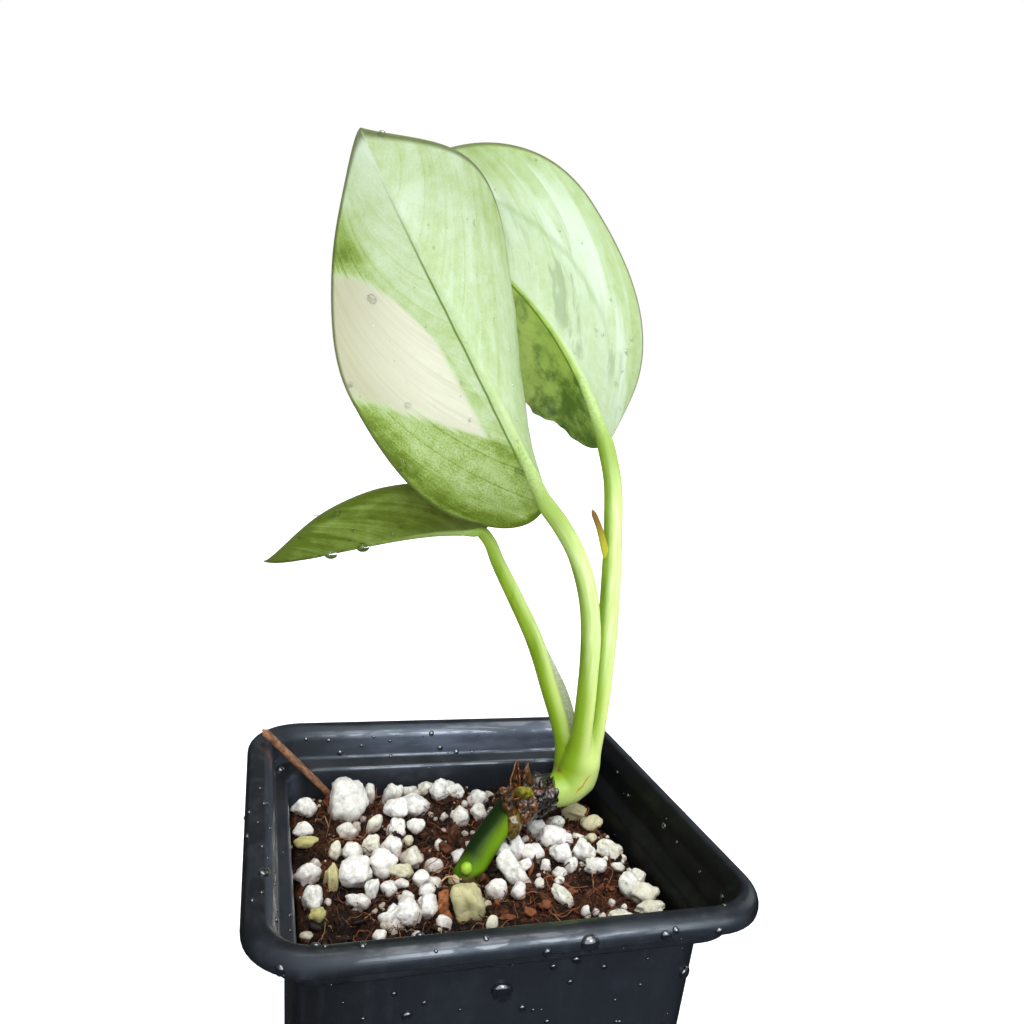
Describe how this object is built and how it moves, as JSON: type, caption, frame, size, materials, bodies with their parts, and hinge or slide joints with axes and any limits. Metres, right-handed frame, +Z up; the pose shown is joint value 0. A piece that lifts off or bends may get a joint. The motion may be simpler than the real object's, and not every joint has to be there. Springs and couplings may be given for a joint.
{
  "type": "potted variegated pothos cutting",
  "caption": "Rooted pothos cutting with a new shoot and variegated leaves, in a square black nursery pot filled with coir, peat and perlite.",
  "frame": {"origin": "middle of the pot's underside, on the surface it stands on", "axes": "+Z up; X and Y along the square pot's sides; the front leaf faces -Y"},
  "size_m": [0.075, 0.0799, 0.1877],
  "materials": {
    "pot_plastic": "satin black moulded plastic",
    "potting_mix": "damp dark coir and peat",
    "perlite": "chalky white expanded mineral grains",
    "old_stem": "satin green stem skin",
    "petiole": "satin yellow-green stalk skin",
    "leaf": "satin leaf with cream, mint and green sectors",
    "dry_husk": "wet-looking torn brown sheath",
    "dry_stalk": "dry brown stalk",
    "water": "clear water drops"
  },
  "bodies": {
    "root": {"nursery_pot": "pot_plastic", "potting_mix": "potting_mix", "old_stem": "old_stem", "shoot_base": "petiole", "dry_husk": "dry_husk", "dry_stalk": "dry_stalk", "petiole_front": "petiole", "blade_front": "leaf", "petiole_back": "petiole", "blade_back": "leaf", "petiole_low": "petiole", "blade_low": "leaf"}
  },
  "joints": []
}
